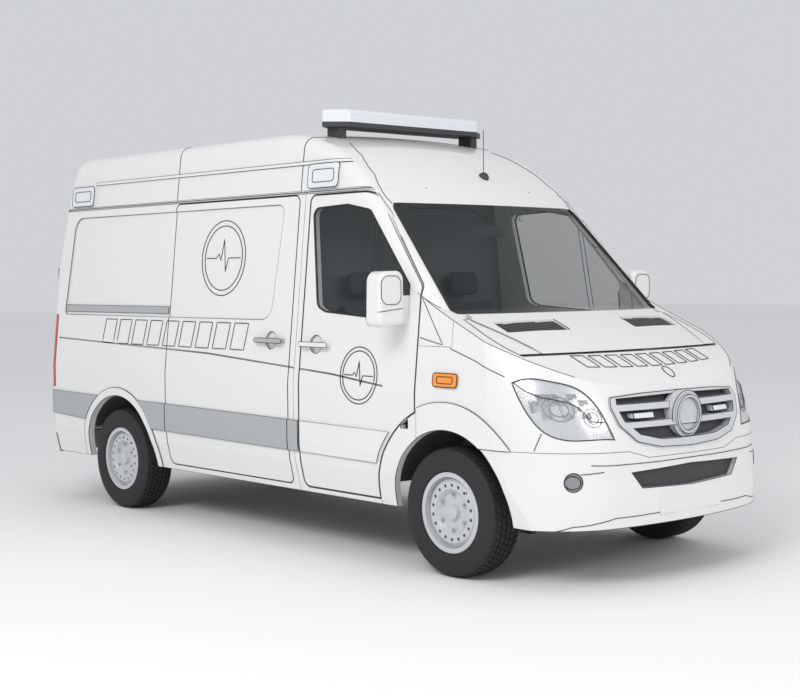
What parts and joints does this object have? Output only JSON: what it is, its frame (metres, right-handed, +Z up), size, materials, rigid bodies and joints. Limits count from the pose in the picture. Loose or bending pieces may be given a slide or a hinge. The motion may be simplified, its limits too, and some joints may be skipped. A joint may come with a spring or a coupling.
{
  "type": "ambulance",
  "caption": "High-roof panel-van ambulance with hinged cab and rear doors, a lifting bonnet, steered front wheels, a roof light bar and a hollow cab and load space.",
  "frame": {"origin": "on the ground at the middle of the vehicle's length and width", "axes": "+X forwards, +Y to the vehicle's left, +Z up"},
  "size_m": [5.3152, 2.3574, 2.6909],
  "materials": {
    "body_paint": "gloss",
    "grille_trim": "gloss",
    "moulding_grey": "satin",
    "trim_black": "satin",
    "glass_dark": "polished",
    "lamp_clear": "polished",
    "lamp_bowl": "polished",
    "lamp_red": "gloss",
    "lamp_white": "gloss",
    "lamp_amber": "gloss",
    "chassis_steel": "satin",
    "cast_metal": "matte",
    "alloy_grey": "satin",
    "wheel_silver": "satin",
    "tyre": "matte",
    "dash_plastic": "matte",
    "seat_cloth": "matte",
    "plate": "satin",
    "hinge_steel": "satin",
    "floor_paint": "matte"
  },
  "bodies": {
    "body": {"bulkheads": "floor_paint", "cab_frame": "body_paint", "chassis_frame": "chassis_steel", "dashboard": "dash_plastic", "engine_block": "alloy_grey", "exhaust": "hinge_steel", "fenders": "body_paint", "floor_pan": "floor_paint", "front_bumper": "body_paint", "front_suspension": "chassis_steel", "fuel_tank": "trim_black", "grille": "grille_trim", "grille_mesh": "trim_black", "headlamp_bowls": "lamp_bowl", "headlamp_lenses": "lamp_clear", "hinge_carriers": "hinge_steel", "leaf_springs": "chassis_steel", "light_bar_base": "trim_black", "light_bar_lens": "lamp_white", "number_plate": "plate", "rear_axle": "cast_metal", "rear_bumper": "moulding_grey", "roof_panel": "body_paint", "scene_lamps": "lamp_white", "seat_bases": "trim_black", "seat_cushions": "seat_cloth", "side_lamps": "lamp_amber", "side_mouldings": "moulding_grey", "side_panel_left": "body_paint", "side_panel_right": "body_paint", "sliding_door": "body_paint", "tail_lamps": "lamp_red", "wheel_arch_liners": "trim_black", "windscreen": "glass_dark"},
    "door_front_left": {"door_front_left_panel": "body_paint", "door_front_left_glass": "glass_dark", "door_front_left_fittings": "body_paint"},
    "door_rear_left": {"door_rear_left_panel": "body_paint", "door_rear_left_glass": "glass_dark", "door_rear_left_hinges": "hinge_steel"},
    "knuckle_left": {"knuckle_left": "cast_metal"},
    "wheel_front_left": {"tyre_front_left": "tyre", "rim_front_left": "wheel_silver"},
    "wheel_rear_left": {"tyre_rear_left": "tyre", "rim_rear_left": "wheel_silver"},
    "door_front_right": {"door_front_right_panel": "body_paint", "door_front_right_glass": "glass_dark", "door_front_right_fittings": "body_paint"},
    "door_rear_right": {"door_rear_right_panel": "body_paint", "door_rear_right_glass": "glass_dark", "door_rear_right_hinges": "hinge_steel"},
    "knuckle_right": {"knuckle_right": "cast_metal"},
    "wheel_front_right": {"tyre_front_right": "tyre", "rim_front_right": "wheel_silver"},
    "wheel_rear_right": {"tyre_rear_right": "tyre", "rim_rear_right": "wheel_silver"},
    "bonnet": {"bonnet_panel": "body_paint", "bonnet_vents": "trim_black"},
    "steering_wheel": {"steering_wheel": "dash_plastic"}
  },
  "joints": [
    {"name": "door_front_left_hinge", "type": "hinge", "parent": "body", "child": "door_front_left", "pos_m": [1.4125, 0.96, 0.945], "axis": [0, 0, -1], "range_deg": [0, 70]},
    {"name": "door_rear_left_hinge", "type": "hinge", "parent": "body", "child": "door_rear_left", "pos_m": [-2.6475, 0.885, 1.15], "axis": [0, 0, -1], "range_deg": [0, 180]},
    {"name": "door_front_right_hinge", "type": "hinge", "parent": "body", "child": "door_front_right", "pos_m": [1.4125, -0.96, 0.945], "axis": [0, 0, 1], "range_deg": [0, 70]},
    {"name": "door_rear_right_hinge", "type": "hinge", "parent": "body", "child": "door_rear_right", "pos_m": [-2.6475, -0.885, 1.15], "axis": [0, 0, 1], "range_deg": [0, 180]},
    {"name": "bonnet_hinge", "type": "hinge", "parent": "body", "child": "bonnet", "pos_m": [1.7605, 0, 1.398], "axis": [0, -1, 0], "range_deg": [0, 60]},
    {"name": "steer_left", "type": "hinge", "parent": "body", "child": "knuckle_left", "pos_m": [1.7525, 0.815, 0.356], "axis": [0, 0, 1], "range_deg": [-35, 35]},
    {"name": "steer_right", "type": "hinge", "parent": "body", "child": "knuckle_right", "pos_m": [1.7525, -0.815, 0.356], "axis": [0, 0, 1], "range_deg": [-35, 35]},
    {"name": "steering_wheel_turn", "type": "hinge", "parent": "body", "child": "steering_wheel", "pos_m": [0.9625, 0.44, 1.12], "axis": [-0.7071, 0, 0.7071], "range_deg": [-560, 560]},
    {"name": "wheel_front_left_spin", "type": "hinge", "parent": "knuckle_left", "child": "wheel_front_left", "pos_m": [1.7525, 0.855, 0.356], "axis": [0, 1, 0], "continuous": true},
    {"name": "wheel_rear_left_spin", "type": "hinge", "parent": "body", "child": "wheel_rear_left", "pos_m": [-1.6575, 0.855, 0.356], "axis": [0, 1, 0], "continuous": true},
    {"name": "wheel_front_right_spin", "type": "hinge", "parent": "knuckle_right", "child": "wheel_front_right", "pos_m": [1.7525, -0.855, 0.356], "axis": [0, 1, 0], "continuous": true},
    {"name": "wheel_rear_right_spin", "type": "hinge", "parent": "body", "child": "wheel_rear_right", "pos_m": [-1.6575, -0.855, 0.356], "axis": [0, 1, 0], "continuous": true}
  ],
  "couplings": [
    {"joint": "steer_right", "follows": "steer_left", "ratio": 1},
    {"joint": "steering_wheel_turn", "follows": "steer_left", "ratio": 16}
  ]
}
